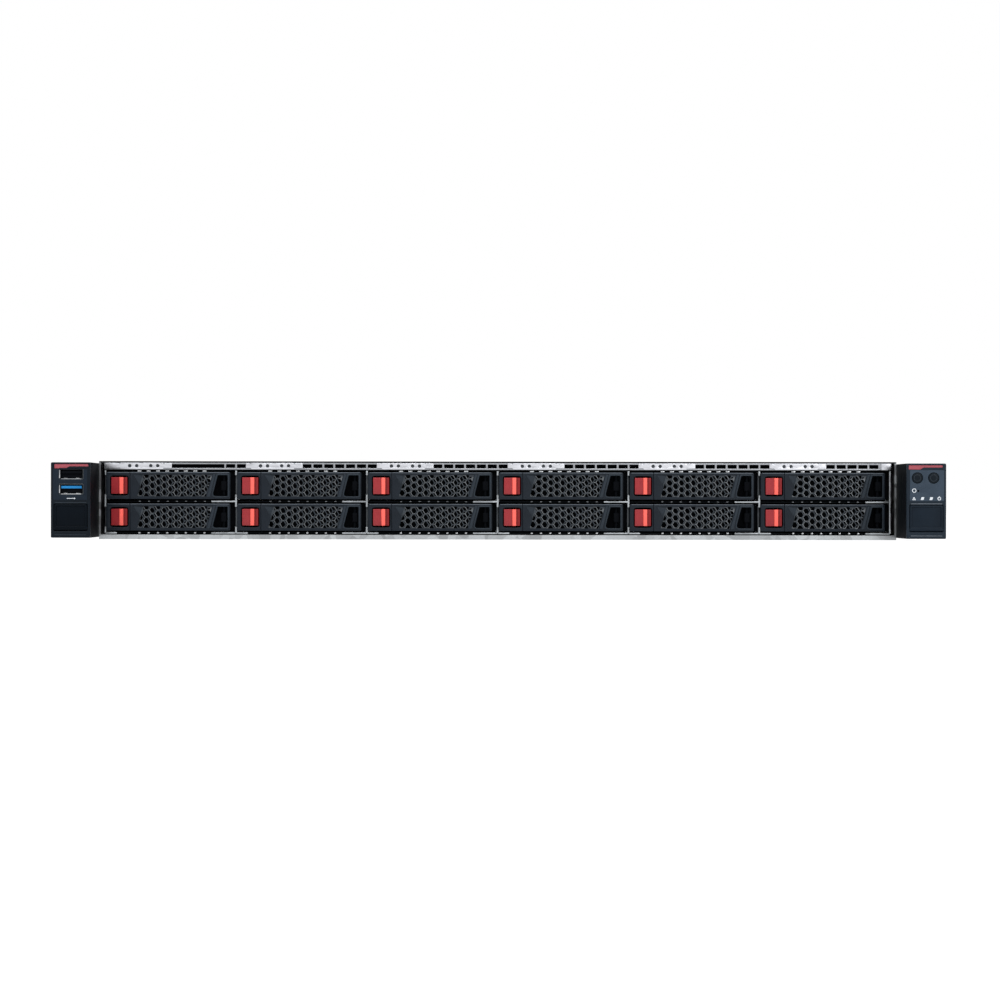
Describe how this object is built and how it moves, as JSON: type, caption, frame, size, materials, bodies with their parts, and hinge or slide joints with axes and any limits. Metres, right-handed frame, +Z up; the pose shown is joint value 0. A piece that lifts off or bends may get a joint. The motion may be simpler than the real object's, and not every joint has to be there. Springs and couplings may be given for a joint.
{
  "type": "1u rack server",
  "caption": "Slim 19 inch rack server with front drive bays under a slotted strip, deep rack ears with flap doors, sliding cover and rear power supplies.",
  "frame": {"origin": "underside of the chassis, in the middle of its width, on the rack's mounting plane (the rear faces of the ears)", "axes": "+X to the right seen from the front, +Y to the rear, +Z up"},
  "size_m": [0.4826, 0.777, 0.043],
  "materials": {
    "steel": "galvanised sheet steel",
    "cage": "galvanised sheet steel",
    "plate": "satin",
    "board": "circuit board",
    "black_plastic": "matt",
    "ear": "fine grain",
    "latch": "matt",
    "key": "matt",
    "supply": "galvanised sheet steel",
    "tab": "matt",
    "carrier": "fine grain",
    "lever": "fine grain",
    "button": "satin"
  },
  "bodies": {
    "chassis": {"chassis_base": "steel", "drive_cage": "cage", "light_pipe_plates": "plate", "backplane": "board", "fan_housings": "black_plastic", "mainboard": "board", "left_ear": "ear", "right_ear": "ear"},
    "cover": {"top_cover": "steel"},
    "cover_latch": {"cover_latch": "latch"},
    "left_door": {"left_ear_door": "ear"},
    "right_door": {"right_ear_door": "ear"},
    "power_key": {"power_button": "key"},
    "ident_key": {"ident_button": "key"},
    "supply_1": {"power_supply_1": "supply"},
    "supply_2": {"power_supply_2": "supply"},
    "supply_tab_1": {"supply_latch_1": "tab"},
    "supply_tab_2": {"supply_latch_2": "tab"},
    "carrier_01": {"drive_carrier_01": "carrier"},
    "lever_01": {"carrier_lever_01": "lever"},
    "button_01": {"release_button_01": "button"},
    "carrier_02": {"drive_carrier_02": "carrier"},
    "lever_02": {"carrier_lever_02": "lever"},
    "button_02": {"release_button_02": "button"},
    "carrier_03": {"drive_carrier_03": "carrier"},
    "lever_03": {"carrier_lever_03": "lever"},
    "button_03": {"release_button_03": "button"},
    "carrier_04": {"drive_carrier_04": "carrier"},
    "lever_04": {"carrier_lever_04": "lever"},
    "button_04": {"release_button_04": "button"},
    "carrier_05": {"drive_carrier_05": "carrier"},
    "lever_05": {"carrier_lever_05": "lever"},
    "button_05": {"release_button_05": "button"},
    "carrier_06": {"drive_carrier_06": "carrier"},
    "lever_06": {"carrier_lever_06": "lever"},
    "button_06": {"release_button_06": "button"},
    "carrier_07": {"drive_carrier_07": "carrier"},
    "lever_07": {"carrier_lever_07": "lever"},
    "button_07": {"release_button_07": "button"},
    "carrier_08": {"drive_carrier_08": "carrier"},
    "lever_08": {"carrier_lever_08": "lever"},
    "button_08": {"release_button_08": "button"},
    "carrier_09": {"drive_carrier_09": "carrier"},
    "lever_09": {"carrier_lever_09": "lever"},
    "button_09": {"release_button_09": "button"},
    "carrier_10": {"drive_carrier_10": "carrier"},
    "lever_10": {"carrier_lever_10": "lever"},
    "button_10": {"release_button_10": "button"},
    "carrier_11": {"drive_carrier_11": "carrier"},
    "lever_11": {"carrier_lever_11": "lever"},
    "button_11": {"release_button_11": "button"},
    "carrier_12": {"drive_carrier_12": "carrier"},
    "lever_12": {"carrier_lever_12": "lever"},
    "button_12": {"release_button_12": "button"},
    "rotor_1": {"fan_rotor_1": "black_plastic"},
    "rotor_2": {"fan_rotor_2": "black_plastic"},
    "rotor_3": {"fan_rotor_3": "black_plastic"},
    "rotor_4": {"fan_rotor_4": "black_plastic"},
    "rotor_5": {"fan_rotor_5": "black_plastic"},
    "rotor_6": {"fan_rotor_6": "black_plastic"}
  },
  "joints": [
    {"name": "cover_slide", "type": "slide", "parent": "chassis", "child": "cover", "axis": [0, 1, 0], "range_m": [0, 0.012]},
    {"name": "cover_latch_lift", "type": "hinge", "parent": "cover", "child": "cover_latch", "pos_m": [0, 0.4361, 0.0412], "axis": [1, 0, 0], "range_deg": [0, 80]},
    {"name": "left_door_swing", "type": "hinge", "parent": "chassis", "child": "left_door", "pos_m": [-0.23065, -0.0319, 0.00615], "axis": [1, 0, 0], "range_deg": [0, 90]},
    {"name": "right_door_swing", "type": "hinge", "parent": "chassis", "child": "right_door", "pos_m": [0.23065, -0.0319, 0.00615], "axis": [1, 0, 0], "range_deg": [0, 90]},
    {"name": "power_press", "type": "slide", "parent": "chassis", "child": "power_key", "axis": [0, 1, 0], "range_m": [0, 0.0008], "stiffness_N_per_m": 900},
    {"name": "ident_press", "type": "slide", "parent": "chassis", "child": "ident_key", "axis": [0, 1, 0], "range_m": [0, 0.0008], "stiffness_N_per_m": 900},
    {"name": "supply_1_slide", "type": "slide", "parent": "chassis", "child": "supply_1", "axis": [0, 1, 0], "range_m": [0, 0.18]},
    {"name": "supply_1_tab", "type": "hinge", "parent": "supply_1", "child": "supply_tab_1", "pos_m": [0.2153, 0.7112, 0.0208], "axis": [0, 0, 1], "range_deg": [0, 6], "stiffness_Nm_per_rad": 0.4},
    {"name": "supply_2_slide", "type": "slide", "parent": "chassis", "child": "supply_2", "axis": [0, 1, 0], "range_m": [0, 0.18]},
    {"name": "supply_2_tab", "type": "hinge", "parent": "supply_2", "child": "supply_tab_2", "pos_m": [0.1398, 0.7112, 0.0208], "axis": [0, 0, 1], "range_deg": [0, 6], "stiffness_Nm_per_rad": 0.4},
    {"name": "carrier_01_slide", "type": "slide", "parent": "chassis", "child": "carrier_01", "axis": [0, -1, 0], "range_m": [0, 0.105]},
    {"name": "lever_01_swing", "type": "hinge", "parent": "carrier_01", "child": "lever_01", "pos_m": [-0.1511, -0.0042, 0.02955], "axis": [0, 0, 1], "range_deg": [0, 60]},
    {"name": "button_01_press", "type": "slide", "parent": "carrier_01", "child": "button_01", "axis": [0, 1, 0], "range_m": [0, 0.0012], "stiffness_N_per_m": 900},
    {"name": "carrier_02_slide", "type": "slide", "parent": "chassis", "child": "carrier_02", "axis": [0, -1, 0], "range_m": [0, 0.105]},
    {"name": "lever_02_swing", "type": "hinge", "parent": "carrier_02", "child": "lever_02", "pos_m": [-0.0789, -0.0042, 0.02955], "axis": [0, 0, 1], "range_deg": [0, 60]},
    {"name": "button_02_press", "type": "slide", "parent": "carrier_02", "child": "button_02", "axis": [0, 1, 0], "range_m": [0, 0.0012], "stiffness_N_per_m": 900},
    {"name": "carrier_03_slide", "type": "slide", "parent": "chassis", "child": "carrier_03", "axis": [0, -1, 0], "range_m": [0, 0.105]},
    {"name": "lever_03_swing", "type": "hinge", "parent": "carrier_03", "child": "lever_03", "pos_m": [-0.0067, -0.0042, 0.02955], "axis": [0, 0, 1], "range_deg": [0, 60]},
    {"name": "button_03_press", "type": "slide", "parent": "carrier_03", "child": "button_03", "axis": [0, 1, 0], "range_m": [0, 0.0012], "stiffness_N_per_m": 900},
    {"name": "carrier_04_slide", "type": "slide", "parent": "chassis", "child": "carrier_04", "axis": [0, -1, 0], "range_m": [0, 0.105]},
    {"name": "lever_04_swing", "type": "hinge", "parent": "carrier_04", "child": "lever_04", "pos_m": [0.0655, -0.0042, 0.02955], "axis": [0, 0, 1], "range_deg": [0, 60]},
    {"name": "button_04_press", "type": "slide", "parent": "carrier_04", "child": "button_04", "axis": [0, 1, 0], "range_m": [0, 0.0012], "stiffness_N_per_m": 900},
    {"name": "carrier_05_slide", "type": "slide", "parent": "chassis", "child": "carrier_05", "axis": [0, -1, 0], "range_m": [0, 0.105]},
    {"name": "lever_05_swing", "type": "hinge", "parent": "carrier_05", "child": "lever_05", "pos_m": [0.1377, -0.0042, 0.02955], "axis": [0, 0, 1], "range_deg": [0, 60]},
    {"name": "button_05_press", "type": "slide", "parent": "carrier_05", "child": "button_05", "axis": [0, 1, 0], "range_m": [0, 0.0012], "stiffness_N_per_m": 900},
    {"name": "carrier_06_slide", "type": "slide", "parent": "chassis", "child": "carrier_06", "axis": [0, -1, 0], "range_m": [0, 0.105]},
    {"name": "lever_06_swing", "type": "hinge", "parent": "carrier_06", "child": "lever_06", "pos_m": [0.2099, -0.0042, 0.02955], "axis": [0, 0, 1], "range_deg": [0, 60]},
    {"name": "button_06_press", "type": "slide", "parent": "carrier_06", "child": "button_06", "axis": [0, 1, 0], "range_m": [0, 0.0012], "stiffness_N_per_m": 900},
    {"name": "carrier_07_slide", "type": "slide", "parent": "chassis", "child": "carrier_07", "axis": [0, -1, 0], "range_m": [0, 0.105]},
    {"name": "lever_07_swing", "type": "hinge", "parent": "carrier_07", "child": "lever_07", "pos_m": [-0.1511, -0.0042, 0.01215], "axis": [0, 0, 1], "range_deg": [0, 60]},
    {"name": "button_07_press", "type": "slide", "parent": "carrier_07", "child": "button_07", "axis": [0, 1, 0], "range_m": [0, 0.0012], "stiffness_N_per_m": 900},
    {"name": "carrier_08_slide", "type": "slide", "parent": "chassis", "child": "carrier_08", "axis": [0, -1, 0], "range_m": [0, 0.105]},
    {"name": "lever_08_swing", "type": "hinge", "parent": "carrier_08", "child": "lever_08", "pos_m": [-0.0789, -0.0042, 0.01215], "axis": [0, 0, 1], "range_deg": [0, 60]},
    {"name": "button_08_press", "type": "slide", "parent": "carrier_08", "child": "button_08", "axis": [0, 1, 0], "range_m": [0, 0.0012], "stiffness_N_per_m": 900},
    {"name": "carrier_09_slide", "type": "slide", "parent": "chassis", "child": "carrier_09", "axis": [0, -1, 0], "range_m": [0, 0.105]},
    {"name": "lever_09_swing", "type": "hinge", "parent": "carrier_09", "child": "lever_09", "pos_m": [-0.0067, -0.0042, 0.01215], "axis": [0, 0, 1], "range_deg": [0, 60]},
    {"name": "button_09_press", "type": "slide", "parent": "carrier_09", "child": "button_09", "axis": [0, 1, 0], "range_m": [0, 0.0012], "stiffness_N_per_m": 900},
    {"name": "carrier_10_slide", "type": "slide", "parent": "chassis", "child": "carrier_10", "axis": [0, -1, 0], "range_m": [0, 0.105]},
    {"name": "lever_10_swing", "type": "hinge", "parent": "carrier_10", "child": "lever_10", "pos_m": [0.0655, -0.0042, 0.01215], "axis": [0, 0, 1], "range_deg": [0, 60]},
    {"name": "button_10_press", "type": "slide", "parent": "carrier_10", "child": "button_10", "axis": [0, 1, 0], "range_m": [0, 0.0012], "stiffness_N_per_m": 900},
    {"name": "carrier_11_slide", "type": "slide", "parent": "chassis", "child": "carrier_11", "axis": [0, -1, 0], "range_m": [0, 0.105]},
    {"name": "lever_11_swing", "type": "hinge", "parent": "carrier_11", "child": "lever_11", "pos_m": [0.1377, -0.0042, 0.01215], "axis": [0, 0, 1], "range_deg": [0, 60]},
    {"name": "button_11_press", "type": "slide", "parent": "carrier_11", "child": "button_11", "axis": [0, 1, 0], "range_m": [0, 0.0012], "stiffness_N_per_m": 900},
    {"name": "carrier_12_slide", "type": "slide", "parent": "chassis", "child": "carrier_12", "axis": [0, -1, 0], "range_m": [0, 0.105]},
    {"name": "lever_12_swing", "type": "hinge", "parent": "carrier_12", "child": "lever_12", "pos_m": [0.2099, -0.0042, 0.01215], "axis": [0, 0, 1], "range_deg": [0, 60]},
    {"name": "button_12_press", "type": "slide", "parent": "carrier_12", "child": "button_12", "axis": [0, 1, 0], "range_m": [0, 0.0012], "stiffness_N_per_m": 900},
    {"name": "rotor_1_spin", "type": "hinge", "parent": "chassis", "child": "rotor_1", "pos_m": [-0.1775, 0.194, 0.021], "axis": [0, 1, 0], "continuous": true},
    {"name": "rotor_2_spin", "type": "hinge", "parent": "chassis", "child": "rotor_2", "pos_m": [-0.1065, 0.194, 0.021], "axis": [0, 1, 0], "continuous": true},
    {"name": "rotor_3_spin", "type": "hinge", "parent": "chassis", "child": "rotor_3", "pos_m": [-0.0355, 0.194, 0.021], "axis": [0, 1, 0], "continuous": true},
    {"name": "rotor_4_spin", "type": "hinge", "parent": "chassis", "child": "rotor_4", "pos_m": [0.0355, 0.194, 0.021], "axis": [0, 1, 0], "continuous": true},
    {"name": "rotor_5_spin", "type": "hinge", "parent": "chassis", "child": "rotor_5", "pos_m": [0.1065, 0.194, 0.021], "axis": [0, 1, 0], "continuous": true},
    {"name": "rotor_6_spin", "type": "hinge", "parent": "chassis", "child": "rotor_6", "pos_m": [0.1775, 0.194, 0.021], "axis": [0, 1, 0], "continuous": true}
  ]
}
